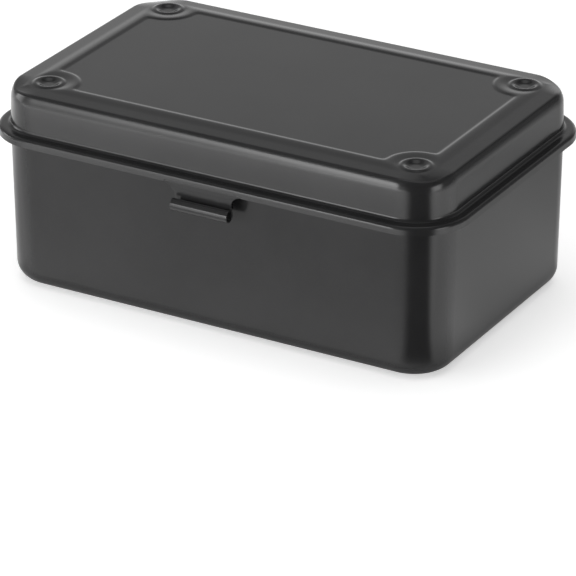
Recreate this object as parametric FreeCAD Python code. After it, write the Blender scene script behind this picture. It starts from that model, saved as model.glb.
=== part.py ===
import FreeCAD, Part
import math
import os

# A hinged storage box pressed from thin steel sheet, in millimetres.
# X runs along the length, the front faces -Y, +Z is up, and the box stands on z = 0.

# Sheet and walls
sheet = 0.6
box_length = 195.0
box_depth = 120.0
corner_radius = 18.0
rim_height = 65.0
wall_lean = 0.9
bottom_radius = 7.5

# Rolled rim of the body
rim_bead = 3.6
rim_curl = 285.0

# Lid: a shallow pan with a flat ledge and a short skirt all round
lid_gap = 0.3
lid_height = 16.8
lid_lean = 1.5
lid_edge_radius = 1.6
lid_edge_turn = 63.0
lid_shoulder_radius = 10.0
ledge_root_radius = 1.5
ledge_lip_radius = 1.5
skirt_clearance = 1.4
skirt_depth = 3.4

# Raised line round the lid's panel, with a scoop at each corner
ridge_inset_ends = 13.0
ridge_inset_sides = 12.2
ridge_height = 0.5
ridge_base = 3.8
ridge_crest = 1.3
scoop_radius = 11.0
ridge_turn_radius = 3.0

# Round stacking dimples in the scoops
dimple_inset_ends = 16.6
dimple_inset_sides = 15.2
dimple_foot_radius = 6.8
dimple_crest_radius = 5.4
dimple_crest_width = 0.7
dimple_crest_height = 0.45
dimple_floor_radius = 2.8
dimple_depth = 0.9

# Lift tab on the lid's front edge, rolled outwards
tab_width = 25.0
tab_fillet = 4.5
tab_root = 0.8
tab_drop = 8.1
tab_bead = 5.0
tab_bend_radius = 2.0
tab_slope = 10.5
tab_roll = 275.0
latch_clearance = 0.2

# Catch that hangs from the body's front rim, rolled outwards
catch_width = 22.5
catch_fillet = 3.0
catch_root = 2.4
catch_drop = 8.2
catch_bead = 2.7
catch_gap = 0.25
catch_roll = 268.0
catch_relief = 0.3

# Two hinges: a wire pin in the rear rim and a curled knuckle on the lid
hinge_length = 40.0
hinge_corner_gap = 13.0
hinge_relief = 0.4
hinge_notch = 3.7
pin_seat = 8.0
pin_fit = 0.02
knuckle_clearance = 0.05
knuckle_curl = 290.0
stop_height = 1.4
stop_ramp = 5.5
stop_margin = 0.7

# Angles and axes
quarter = 90.0
half_turn = 180.0
up = FreeCAD.Vector(0, 0, 1)
along = FreeCAD.Vector(1, 0, 0)
origin = FreeCAD.Vector(0, 0, 0)


# A sheet seen edge-on. Its middle line walks from a start point in straight runs and arcs,
# and its two faces lie half a sheet to the left and to the right of that line.
def point_at(place, normal, offset):
    return FreeCAD.Vector(place[0] + normal[0] * offset, 0, place[1] + normal[1] * offset)


def left_of(heading):
    return (-math.sin(heading), math.cos(heading))


def arc_point(centre, start, angle):
    du = start[0] - centre[0]
    dz = start[1] - centre[1]
    turned_u = du * math.cos(angle) - dz * math.sin(angle)
    turned_z = du * math.sin(angle) + dz * math.cos(angle)
    return (centre[0] + turned_u, centre[1] + turned_z)


def sheet_section(start, heading_degrees, steps):
    offset = sheet / 2
    place = start
    heading = math.radians(heading_degrees)
    left = []
    right = []
    first = (place, left_of(heading))
    for step in steps:
        before = (place, left_of(heading))
        if step[0] == "run":
            length = step[1]
            place = (place[0] + length * math.cos(heading), place[1] + length * math.sin(heading))
            middle = None
        else:
            radius = step[1]
            turn = math.radians(step[2])
            side = 1 if turn > 0 else -1
            normal = left_of(heading)
            centre = (place[0] + side * radius * normal[0], place[1] + side * radius * normal[1])
            middle = (arc_point(centre, place, turn / 2), left_of(heading + turn / 2))
            place = arc_point(centre, place, turn)
            heading = heading + turn
        after = (place, left_of(heading))
        left.append((before, middle, after))
        right.append((before, middle, after))
    last = (place, left_of(heading))
    edges = []
    for before, middle, after in left:
        edges.append(edge_between(before, middle, after, offset))
    edges.append(segment(point_at(*last, offset), point_at(*last, -offset)))
    for before, middle, after in reversed(right):
        edges.append(edge_between(after, middle, before, -offset))
    edges.append(segment(point_at(*first, -offset), point_at(*first, offset)))
    return Part.Face(Part.Wire(edges))


def segment(first, last):
    return Part.LineSegment(first, last).toShape()


def edge_between(before, middle, after, offset):
    first = point_at(*before, offset)
    last = point_at(*after, offset)
    if middle is None:
        return segment(first, last)
    return Part.Arc(first, point_at(*middle, offset), last).toShape()


def block(low, high):
    size = high - low
    return Part.makeBox(size.x, size.y, size.z, low)


def whole(shape):
    return shape.removeSplitter()


# Straight parts of the walls end where the rounded corners begin.
straight_x = box_length / 2 - corner_radius
straight_y = box_depth / 2 - corner_radius


# Carries a section round the four sides and corners, over a flat plate in the middle.
# The section's first coordinate is the distance out from the corners' centres.
def wrapped(section, plate_bottom):
    corner = section.revolve(origin, up, quarter)
    plate = block(
        FreeCAD.Vector(-straight_x, -straight_y, plate_bottom),
        FreeCAD.Vector(straight_x, straight_y, plate_bottom + sheet),
    )
    pieces = []
    signs = ((1, 1), (-1, 1), (-1, -1), (1, -1))
    for index, (sign_x, sign_y) in enumerate(signs):
        centre = FreeCAD.Vector(sign_x * straight_x, sign_y * straight_y, 0)
        bend = corner.copy()
        bend.rotate(origin, up, quarter * index)
        bend.translate(centre)
        pieces.append(bend)
        lengthwise = index % 2 == 1
        run = 2 * (straight_x if lengthwise else straight_y)
        side = section.extrude(FreeCAD.Vector(0, run, 0))
        side.rotate(origin, up, quarter * index)
        before = signs[index - 1]
        side.translate(FreeCAD.Vector(before[0] * straight_x, before[1] * straight_y, 0))
        pieces.append(side)
    return whole(plate.multiFuse(pieces))


# Lays a section along X, facing the front or the rear, centred on a given x.
def laid_along(section, width, centre_x, facing):
    strip = section.extrude(FreeCAD.Vector(0, width, 0))
    strip.rotate(origin, up, quarter * facing)
    strip.translate(FreeCAD.Vector(centre_x + facing * width / 2, facing * straight_y, 0))
    return strip


front = -1
rear = 1
half = sheet / 2

# Body section: bottom plate, bottom bend, leaning wall and outward curl of the rim
lean = math.radians(wall_lean)
bead_radius = rim_bead / 2
curl_radius = bead_radius - half
axis_z = rim_height - bead_radius
wall_top_z = axis_z + curl_radius * math.sin(lean)
wall_top_u = corner_radius - half * math.cos(lean)
axis_u = wall_top_u + curl_radius * math.cos(lean)
bend_radius = bottom_radius - half
bend_u = wall_top_u - (wall_top_z - bottom_radius) * math.tan(lean) - bend_radius / math.cos(lean)
wall_foot_z = bottom_radius - bend_radius * math.sin(lean)
wall_run = (wall_top_z - wall_foot_z) / math.cos(lean)
body_section = sheet_section((0, half), 0, [
    ("run", bend_u),
    ("arc", bend_radius, quarter - wall_lean),
    ("run", wall_run),
    ("arc", curl_radius, -rim_curl),
])
body = wrapped(body_section, 0)


def wall_face(z):
    return corner_radius - (wall_top_z - z) * math.tan(lean)


# Lid section: top plate, edge bend, leaning wall, ledge and skirt
ledge_under = rim_height + lid_gap
ledge_top = ledge_under + sheet
panel_z = ledge_top + lid_height
rim_overhang = axis_u + bead_radius - corner_radius
skirt_u = corner_radius + rim_overhang + skirt_clearance + sheet
skirt_bottom = ledge_top - skirt_depth
tilt = math.radians(lid_lean)


def lid_wall_u(z):
    return corner_radius - half / math.cos(tilt) - (z - ledge_top) * math.tan(tilt)


# The top edge bends tightly first and then runs over a wide shoulder into the wall.
edge_radius = lid_edge_radius - half
shoulder_radius = lid_shoulder_radius - half
edge_turn = math.radians(lid_edge_turn)
edge_out = edge_radius * math.sin(edge_turn) + shoulder_radius * (math.cos(tilt) - math.sin(edge_turn))
edge_drop = edge_radius * (1 - math.cos(edge_turn)) + shoulder_radius * (math.cos(edge_turn) - math.sin(tilt))
lid_wall_top = panel_z - half - edge_drop
edge_u = lid_wall_u(lid_wall_top) - edge_out
root_radius = ledge_root_radius + half
root_z = ledge_top + ledge_root_radius
root_u = lid_wall_u(root_z) + root_radius / math.cos(tilt)
lid_wall_run = (lid_wall_top - root_z + root_radius * math.sin(tilt)) / math.cos(tilt)
lid_section = sheet_section((0, panel_z - half), 0, [
    ("run", edge_u),
    ("arc", edge_radius, -lid_edge_turn),
    ("arc", shoulder_radius, lid_edge_turn + lid_lean - quarter),
    ("run", lid_wall_run),
    ("arc", root_radius, quarter - lid_lean),
    ("run", skirt_u - ledge_lip_radius - root_u),
    ("arc", ledge_lip_radius - half, -quarter),
    ("run", skirt_depth - ledge_lip_radius),
])
lid = wrapped(lid_section, panel_z - sheet)

# Outline of the panel's raised line. Every line of it is parallel to the middle one,
# so straight runs shift and arcs keep their centres.
ridge_x = box_length / 2 - ridge_inset_ends
ridge_y = box_depth / 2 - ridge_inset_sides
dimple_x = box_length / 2 - dimple_inset_ends
dimple_y = box_depth / 2 - dimple_inset_sides
reach = scoop_radius + ridge_turn_radius
turn_a_x = ridge_x - ridge_turn_radius
turn_a_y = dimple_y - math.sqrt(reach ** 2 - (turn_a_x - dimple_x) ** 2)
turn_b_y = ridge_y - ridge_turn_radius
turn_b_x = dimple_x - math.sqrt(reach ** 2 - (turn_b_y - dimple_y) ** 2)


def unit(x, y):
    length = math.hypot(x, y)
    return (x / length, y / length)


to_a = unit(dimple_x - turn_a_x, dimple_y - turn_a_y)
to_b = unit(dimple_x - turn_b_x, dimple_y - turn_b_y)
to_both = unit(to_a[0] + to_b[0], to_a[1] + to_b[1])
bend_a = unit(1 + to_a[0], to_a[1])
bend_b = unit(to_b[0], 1 + to_b[1])


def corner_points(shift):
    turn = ridge_turn_radius + shift
    scoop = scoop_radius - shift
    return [
        (turn_a_x + turn, turn_a_y),
        (turn_a_x + turn * bend_a[0], turn_a_y + turn * bend_a[1]),
        (turn_a_x + turn * to_a[0], turn_a_y + turn * to_a[1]),
        (dimple_x - scoop * to_both[0], dimple_y - scoop * to_both[1]),
        (turn_b_x + turn * to_b[0], turn_b_y + turn * to_b[1]),
        (turn_b_x + turn * bend_b[0], turn_b_y + turn * bend_b[1]),
        (turn_b_x, turn_b_y + turn),
    ]


def panel_outline(shift, z):
    edges = []
    first = None
    last = None
    for sign_x, sign_y in ((1, 1), (-1, 1), (-1, -1), (1, -1)):
        points = [FreeCAD.Vector(sign_x * x, sign_y * y, z) for x, y in corner_points(shift)]
        if sign_x != sign_y:
            points.reverse()
        if last is None:
            first = points[0]
        else:
            edges.append(segment(last, points[0]))
        a, b, c, d, e, f, g = points
        edges.append(Part.Arc(a, b, c).toShape())
        edges.append(Part.Arc(c, d, e).toShape())
        edges.append(Part.Arc(e, f, g).toShape())
        last = g
    edges.append(segment(last, first))
    return Part.Wire(edges)


def ridge_band(z):
    top = z + ridge_height
    outer = Part.makeLoft([panel_outline(ridge_base / 2, z), panel_outline(ridge_crest / 2, top)], True, True)
    inner = Part.makeLoft([panel_outline(-ridge_base / 2, z), panel_outline(-ridge_crest / 2, top)], True, True)
    return outer.cut(inner)


lid = whole(lid.fuse(ridge_band(panel_z)).cut(ridge_band(panel_z - sheet)))


# One dimple: a low ring with a bowl in it, of the same sheet, turned about its own axis
def dimple_line(z):
    crest = z + dimple_crest_height
    return [
        FreeCAD.Vector(0, 0, z - dimple_depth),
        FreeCAD.Vector(dimple_floor_radius, 0, z - dimple_depth),
        FreeCAD.Vector(dimple_crest_radius - dimple_crest_width / 2, 0, crest),
        FreeCAD.Vector(dimple_crest_radius + dimple_crest_width / 2, 0, crest),
        FreeCAD.Vector(dimple_foot_radius, 0, z),
    ]


dimple_outline = dimple_line(panel_z) + list(reversed(dimple_line(panel_z - sheet)))
dimple_face = Part.Face(Part.makePolygon(dimple_outline + dimple_outline[:1]))
dimple = dimple_face.revolve(origin, up, 2 * half_turn)
dimple_hole = Part.makeCylinder(
    dimple_foot_radius, 2 * sheet, FreeCAD.Vector(0, 0, panel_z - sheet - half), up)
for sign_x in (1, -1):
    for sign_y in (1, -1):
        place = FreeCAD.Vector(sign_x * dimple_x, sign_y * dimple_y, 0)
        hole = dimple_hole.copy()
        hole.translate(place)
        boss = dimple.copy()
        boss.translate(place)
        lid = lid.cut(hole).fuse(boss)
lid = whole(lid)

# The lid's skirt is cut short along the rear, where its edge meets the body's wall at full opening.
lid_rear = straight_y + skirt_u + sheet
lid_side = straight_x + skirt_u + sheet
stop_z = axis_z + stop_height
stop_y = straight_y + axis_u - stop_margin
stop_low = skirt_bottom - sheet
stop_outline = [
    FreeCAD.Vector(-lid_side, stop_y - stop_ramp, stop_low),
    FreeCAD.Vector(-lid_side, stop_y - stop_ramp, skirt_bottom),
    FreeCAD.Vector(-lid_side, stop_y, stop_z),
    FreeCAD.Vector(-lid_side, lid_rear, stop_z),
    FreeCAD.Vector(-lid_side, lid_rear, stop_low),
]
stop_face = Part.Face(Part.makePolygon(stop_outline + stop_outline[:1]))
lid = lid.cut(stop_face.extrude(along * (2 * lid_side)))

# The lift tab takes the skirt's place over its own width.
tab_half = tab_width / 2 + tab_fillet
tab_top = skirt_bottom + tab_root
skirt_face = straight_y + skirt_u
lid = whole(lid.cut(block(
    FreeCAD.Vector(-tab_half, -skirt_face - sheet, skirt_bottom - sheet),
    FreeCAD.Vector(tab_half, -skirt_face + 2 * sheet, tab_top),
)))

# Catch: the rim's curl opens into a sloping neck that ends in a small outward roll.
catch_z = rim_height - catch_drop
catch_u = wall_face(catch_z) + catch_gap + catch_bead / 2
catch_roll_radius = catch_bead / 2 - half
across = curl_radius + catch_roll_radius
drop_u = catch_u - axis_u
drop_z = catch_z - axis_z
neck = math.sqrt(drop_u ** 2 + drop_z ** 2 - across ** 2)
neck_heading = math.atan2(drop_z, drop_u) - math.atan2(across, neck)
neck_slope = -math.degrees(neck_heading) - quarter
root_start_z = axis_z - catch_root
root_low_z = root_start_z - sheet
root_run = (wall_top_z - root_low_z) / math.cos(lean)
root_low_u = wall_top_u - (wall_top_z - root_low_z) * math.tan(lean)
catch_section = sheet_section((root_low_u, root_low_z), quarter - wall_lean, [
    ("run", root_run),
    ("arc", curl_radius, wall_lean - half_turn - neck_slope),
    ("run", neck),
    ("arc", catch_roll_radius, neck_slope + catch_roll),
])
catch_half = catch_width / 2 + catch_fillet
catch = laid_along(catch_section, 2 * catch_half, 0, front)
catch_outside = straight_y + corner_radius + catch_gap / 2
catch_far = straight_y + catch_u + catch_bead + rim_bead
catch_low = catch_z - catch_bead


# Takes away what lies outside a hanging tab below its rounded inner corners.
def tab_trim(shape, width, fillet, top, low, near_y, far_y):
    for side in (1, -1):
        edge_x = side * width / 2
        round_x = edge_x + side * fillet
        round_z = top - fillet
        far_x = round_x + side * fillet
        below = block(
            FreeCAD.Vector(min(edge_x, far_x), -far_y, low),
            FreeCAD.Vector(max(edge_x, far_x), -near_y, round_z),
        )
        scoop = Part.makeCylinder(
            fillet, far_y - near_y, FreeCAD.Vector(round_x, -far_y, round_z), FreeCAD.Vector(0, 1, 0))
        shape = shape.cut(below).cut(scoop)
    return whole(shape)


catch = tab_trim(catch, catch_width, catch_fillet, axis_z, catch_low, catch_outside, catch_far)
rim_front = straight_y + axis_u + rim_bead
wall_inside = straight_y + wall_face(root_start_z) - 2 * sheet
catch = whole(catch.cut(block(
    FreeCAD.Vector(-catch_half, -catch_outside, catch_low),
    FreeCAD.Vector(catch_half, -wall_inside, root_start_z),
)))
cut_wide = catch_half + catch_relief
body = body.cut(block(
    FreeCAD.Vector(-cut_wide, -rim_front, root_start_z),
    FreeCAD.Vector(cut_wide, -wall_inside, rim_height + sheet),
))

# Lift tab: hangs from the skirt, leans in under the catch and rolls outwards as a finger grip.
catch_out = catch_u + catch_bead / 2
tab_back = max(axis_u + bead_radius, catch_out) + latch_clearance
tab_u = tab_back + tab_bead / 2
tab_z = skirt_bottom - tab_drop
tab_roll_radius = tab_bead / 2 - half
slope = math.radians(tab_slope)
tab_start_u = skirt_u - half
slope_shift = tab_start_u - tab_bend_radius * (1 - math.cos(slope)) - tab_u + tab_roll_radius * math.cos(slope)
slope_run = slope_shift / math.sin(slope)
bend_z = tab_z + (tab_roll_radius + tab_bend_radius) * math.sin(slope) + slope_run * math.cos(slope)
tab_section = sheet_section((tab_start_u, tab_top), -quarter, [
    ("run", tab_top - bend_z),
    ("arc", tab_bend_radius, -tab_slope),
    ("run", slope_run),
    ("arc", tab_roll_radius, tab_slope + tab_roll),
])
tab = laid_along(tab_section, 2 * tab_half, 0, front)
tab_near = straight_y + tab_back - sheet
tab_far = straight_y + tab_u + tab_bead
tab = tab_trim(tab, tab_width, tab_fillet, skirt_bottom, tab_z - tab_bead, tab_near, tab_far)

# Hinges in the straight part of the rear rim
hinge_x = straight_x - hinge_corner_gap - hinge_length / 2
pin_radius = bead_radius - sheet - pin_fit
knuckle_radius = pin_radius + knuckle_clearance + half
knuckle_section = sheet_section((axis_u + knuckle_radius, ledge_under), -quarter, [
    ("run", ledge_under - axis_z),
    ("arc", knuckle_radius, -knuckle_curl),
])
notch_half = hinge_length / 2 + hinge_relief
notch_bottom = axis_z - hinge_notch
notch_inside = straight_y + wall_face(notch_bottom) - 2 * sheet
pin_half = notch_half + pin_seat
pins = {}
knuckles = {}
for side, sign in (("left", -1), ("right", 1)):
    centre = sign * hinge_x
    body = body.cut(block(
        FreeCAD.Vector(centre - notch_half, notch_inside, notch_bottom),
        FreeCAD.Vector(centre + notch_half, rim_front, rim_height + sheet),
    ))
    pin_start = FreeCAD.Vector(centre - pin_half, straight_y + axis_u, axis_z)
    pins[side] = Part.makeCylinder(pin_radius, 2 * pin_half, pin_start, along)
    knuckles[side] = laid_along(knuckle_section, hinge_length, centre, rear)
body = whole(body)

nodes = {
    "body_shell": body,
    "body_catch": catch,
    "left_hinge_pin": pins["left"],
    "right_hinge_pin": pins["right"],
    "lid_shell": lid,
    "lift_tab": tab,
    "left_hinge_knuckle": knuckles["left"],
    "right_hinge_knuckle": knuckles["right"],
}
os.makedirs("parts", exist_ok=True)
for name, shape in nodes.items():
    shape.exportStep("parts/" + name + ".step")
    box = shape.BoundBox
    print(name, "valid", shape.isValid(), "solids", len(shape.Solids), "volume", round(shape.Volume, 1),
          "x", round(box.XMin, 2), round(box.XMax, 2), "y", round(box.YMin, 2), round(box.YMax, 2),
          "z", round(box.ZMin, 2), round(box.ZMax, 2))
print("hinge axis y", round(straight_y + axis_u, 3), "z", round(axis_z, 3), "panel", panel_z,
      "ledge", ledge_top, "skirt bottom", skirt_bottom, "hinge x", hinge_x)
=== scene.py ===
import math

import bpy
from mathutils import Matrix, Vector


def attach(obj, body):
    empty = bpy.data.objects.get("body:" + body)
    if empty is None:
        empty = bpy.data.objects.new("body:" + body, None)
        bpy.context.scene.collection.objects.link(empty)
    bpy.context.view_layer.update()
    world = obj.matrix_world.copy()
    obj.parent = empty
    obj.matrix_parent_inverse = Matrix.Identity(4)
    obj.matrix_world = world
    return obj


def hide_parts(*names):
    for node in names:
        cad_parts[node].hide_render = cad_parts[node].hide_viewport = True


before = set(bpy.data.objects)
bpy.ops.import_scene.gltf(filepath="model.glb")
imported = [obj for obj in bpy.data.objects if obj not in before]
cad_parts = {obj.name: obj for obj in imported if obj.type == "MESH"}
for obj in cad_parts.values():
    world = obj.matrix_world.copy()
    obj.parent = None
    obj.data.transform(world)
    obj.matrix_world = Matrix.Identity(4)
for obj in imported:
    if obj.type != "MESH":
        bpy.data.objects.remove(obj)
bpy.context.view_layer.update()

scene = bpy.context.scene
scene.view_settings.view_transform = "Standard"
mm = 0.001
print("frame loaded:", ", ".join(sorted(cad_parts)))

# sizes in millimetres, the same as the solids have
boxForm = {
    "length": 195.0,
    "depth": 120.0,
    "cornerRadius": 18.0,
    "sheet": 0.6,
    "rimHeight": 65.0,
    "rimBead": 3.6,
    "wallLean": 0.9,  # degrees
    "lidGap": 0.3,
}
half = boxForm["sheet"] / 2
cornerRadius = boxForm["cornerRadius"]
straightX = boxForm["length"] / 2 - cornerRadius
straightY = boxForm["depth"] / 2 - cornerRadius
wallLean = math.radians(boxForm["wallLean"])
curlRadius = boxForm["rimBead"] / 2 - half
axisZ = boxForm["rimHeight"] - boxForm["rimBead"] / 2
wallTopZ = axisZ + curlRadius * math.sin(wallLean)
wallTopU = cornerRadius - half * math.cos(wallLean)
axisU = wallTopU + curlRadius * math.cos(wallLean)
ledgeUnder = boxForm["rimHeight"] + boxForm["lidGap"]
ledgeTop = ledgeUnder + boxForm["sheet"]

meshForm = {
    "arcStep": 6.0,  # degrees
    "leastArcSteps": 4,
    "sharpAngle": 40.0,  # degrees
    "bevelSegments": 4,
}


# the middle line of a bent sheet, as points (distance out, height)
def walkSection(start, heading, steps, arcStep=meshForm["arcStep"]):
    u, z = start
    angle = math.radians(heading)
    points = [start]
    for step in steps:
        if step[0] == "run":
            length, count = step[1], step[2]
            for k in range(1, count + 1):
                reach = length * k / count
                points.append((u + reach * math.cos(angle), z + reach * math.sin(angle)))
        else:
            radius, turn = step[1], math.radians(step[2])
            side = 1 if turn > 0 else -1
            centreU = u - side * radius * math.sin(angle)
            centreZ = z + side * radius * math.cos(angle)
            count = max(meshForm["leastArcSteps"], math.ceil(abs(step[2]) / arcStep))
            for k in range(1, count + 1):
                now = angle + turn * k / count
                along, below = side * radius * math.sin(now), side * radius * math.cos(now)
                points.append((centreU + along, centreZ - below))
            angle += turn
        u, z = points[-1]
    return points


# extra points where a straight run of the section crosses given heights
def breakAt(points, heights, first, last):
    broken = []
    for k, (u, z) in enumerate(points):
        broken.append((u, z))
        if first <= k < last:
            nextU, nextZ = points[k + 1]
            inside = [h for h in heights if min(z, nextZ) < h < max(z, nextZ)]
            for h in sorted(inside, reverse=nextZ < z):
                share = (h - z) / (nextZ - z)
                broken.append((u + share * (nextU - u), h))
    return broken


def spread(low, high, count):
    return [low + (high - low) * k / count for k in range(count + 1)]


# grid lines across a pan: rounded corner, straight part, rounded corner
def panLines(straight, stations, cornerCount):
    lines = [(-straight, -k / cornerCount) for k in range(cornerCount, 0, -1)]
    lines += [(s, 0.0) for s in stations]
    lines += [(straight, k / cornerCount) for k in range(1, cornerCount + 1)]
    return lines


def mirrored(values):
    return sorted(set(round(v, 5) for v in values) | set(round(-v, 5) for v in values))


# a pan of sheet: a flat plate with rounded corners and rings of wall round it
# plateHeight gives the plate's height from its way out, ringPoint bends the section per station
def panMesh(name, xLines, yLines, plateRadius, plateHeight, section, upward, ringPoint=None, gone=None):
    verts = []
    grid = []
    for y, b in yLines:
        row = []
        for x, a in xLines:
            outX = a * plateRadius
            outY = b * plateRadius
            if a and b:
                outX = a * math.sqrt(1 - b * b / 2) * plateRadius
                outY = b * math.sqrt(1 - a * a / 2) * plateRadius
            row.append(len(verts))
            verts.append((x + outX, y + outY, plateHeight(outX, outY)))
        grid.append(row)
    quads = []
    for j in range(len(yLines) - 1):
        for i in range(len(xLines) - 1):
            quads.append((grid[j][i], grid[j][i + 1], grid[j + 1][i + 1], grid[j + 1][i]))

    lastX = len(xLines) - 1
    lastY = len(yLines) - 1
    loop = [(i, 0) for i in range(lastX)] + [(lastX, j) for j in range(lastY)]
    loop += [(i, lastY) for i in range(lastX, 0, -1)] + [(0, j) for j in range(lastY, 0, -1)]
    stations = []
    for i, j in loop:
        (x, a), (y, b) = xLines[i], yLines[j]
        if a and b:
            out = Vector((a * math.sqrt(1 - b * b / 2), b * math.sqrt(1 - a * a / 2))).normalized()
        else:
            out = Vector((a, b)).normalized()
        stations.append((Vector((x, y)), out))
    before = [grid[j][i] for i, j in loop]
    for k in range(1, len(section)):
        ring = []
        for centre, out in stations:
            u, z = section[k] if ringPoint is None else ringPoint(k, centre, out)
            place = centre + out * u
            ring.append(len(verts))
            verts.append((place.x, place.y, z))
        for s in range(len(stations)):
            n = (s + 1) % len(stations)
            quads.append((before[s], ring[s], ring[n], before[n]))
        before = ring
    if gone:
        kept = []
        for quad in quads:
            middle = sum((Vector(verts[v]) for v in quad), Vector()) / 4
            if not gone(middle):
                kept.append(quad)
        quads = kept
    if not upward:
        quads = [tuple(reversed(quad)) for quad in quads]
    return sheetMesh(name, verts, quads)


# mesh object in metres without the points that no face uses
def sheetMesh(name, verts, faces):
    used = sorted({v for face in faces for v in face})
    place = {v: k for k, v in enumerate(used)}
    mesh = bpy.data.meshes.new(name)
    mesh.from_pydata([Vector(verts[v]) * mm for v in used], [], [[place[v] for v in face] for face in faces])
    mesh.validate()
    piece = bpy.data.objects.new(name, mesh)
    scene.collection.objects.link(piece)
    return piece


# a strip of sheet that hangs along X; widths gives half its width at each point of the section
def stripMesh(name, section, widths, facing, across):
    verts = []
    faces = []
    for (u, z), width in zip(section, widths):
        for k in range(across + 1):
            verts.append((width * (2 * k / across - 1), facing * (straightY + u), z))
    for row in range(len(section) - 1):
        for k in range(across):
            a = row * (across + 1) + k
            faces.append((a, a + 1, a + across + 2, a + across + 1))
    return sheetMesh(name, verts, faces)


def thicken(piece, quality):
    solid = piece.modifiers.new("thickness", "SOLIDIFY")
    solid.thickness = boxForm["sheet"] * mm
    solid.offset = 0.0
    solid.use_even_offset = True
    solid.use_quality_normals = quality


# gives the sheet its thickness and, where asked, rounded edges, and keeps the result as a plain mesh
def finishSheet(piece, rounding=None):
    sharp = meshForm["sharpAngle"]
    thicken(piece, True)
    if rounding:
        edge = piece.modifiers.new("rounding", "BEVEL")
        edge.limit_method = "ANGLE"
        edge.angle_limit = math.radians(sharp)
        edge.width = rounding * mm
        edge.segments = meshForm["bevelSegments"]
    return bakeModifiers(piece, sharp)


def bakeModifiers(piece, sharp=meshForm["sharpAngle"]):
    depsgraph = bpy.context.evaluated_depsgraph_get()
    mesh = bpy.data.meshes.new_from_object(piece.evaluated_get(depsgraph), depsgraph=depsgraph)
    piece.modifiers.clear()
    piece.data = mesh
    mesh.name = piece.name
    mesh.shade_smooth()
    mesh.set_sharp_from_angle(angle=math.radians(sharp))
    return piece


# small helpers for node trees
def newNode(tree, kind, values=None, **settings):
    node = tree.nodes.new(kind)
    for key, value in settings.items():
        setattr(node, key, value)
    for key, value in (values or {}).items():
        feed(tree, node.inputs[key], value)
    return node


def feed(tree, socket, value):
    if isinstance(value, bpy.types.NodeSocket):
        tree.links.new(value, socket)
    else:
        socket.default_value = value


def calc(tree, operation, *values):
    node = newNode(tree, "ShaderNodeMath", dict(enumerate(values)), operation=operation)
    return node.outputs[0]


def smoothStep(tree, value, low, high, toLow, toHigh):
    given = {"Value": value, "From Min": low, "From Max": high, "To Min": toLow, "To Max": toHigh}
    node = newNode(tree, "ShaderNodeMapRange", given, interpolation_type="SMOOTHSTEP")
    return node.outputs["Result"]


def mixColours(tree, share, first, second):
    # 6 and 7 are the node's colour inputs and 2 is its colour output
    mix = newNode(tree, "ShaderNodeMix", {"Factor": share, 6: first, 7: second}, data_type="RGBA")
    return mix.outputs[2]


def geometryTree(name, floatInputs):
    tree = bpy.data.node_groups.new(name, "GeometryNodeTree")
    tree.interface.new_socket("Geometry", in_out="INPUT", socket_type="NodeSocketGeometry")
    for label in floatInputs:
        tree.interface.new_socket(label, in_out="INPUT", socket_type="NodeSocketFloat")
    tree.interface.new_socket("Finish", in_out="INPUT", socket_type="NodeSocketMaterial")
    tree.interface.new_socket("Geometry", in_out="OUTPUT", socket_type="NodeSocketGeometry")
    return tree, tree.nodes.new("NodeGroupInput"), tree.nodes.new("NodeGroupOutput")


def closeTree(tree, source, target, geometry):
    real = newNode(tree, "GeometryNodeRealizeInstances", {"Geometry": geometry})
    painted = newNode(tree, "GeometryNodeSetMaterial", {
        "Geometry": real.outputs[0], "Material": source.outputs["Finish"]})
    tree.links.new(painted.outputs[0], target.inputs["Geometry"])


def addTree(piece, tree, values, finish):
    modifier = piece.modifiers.new(tree.name, "NODES")
    modifier.node_group = tree
    for item in tree.interface.items_tree:
        if item.in_out == "INPUT" and item.name in values:
            modifier[item.identifier] = values[item.name]
        if item.in_out == "INPUT" and item.name == "Finish":
            modifier[item.identifier] = finish


filmForm = {
    "cloudDetail": 3.0,
    "cloudRoughness": 0.55,
    "peelDetail": 2.0,
    "peelRoughness": 0.5,
    "speckFineness": 3.1,  # times the peel's waves
    "speckDetail": 1.0,
    "toneShares": (0.7, 0.3),  # of the clouds and of the specks
    "glossShares": (0.4, 0.6),
    "span": (0.3, 0.7),
}
filmInputs = {
    "Deep Tone": "NodeSocketColor",
    "Light Tone": "NodeSocketColor",
    "Gloss Low": "NodeSocketFloat",
    "Gloss High": "NodeSocketFloat",
    "Peel Size": "NodeSocketFloat",
    "Cloud Size": "NodeSocketFloat",
}
filmOutputs = {"Tone": "NodeSocketColor", "Roughness": "NodeSocketFloat", "Height": "NodeSocketFloat"}


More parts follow.
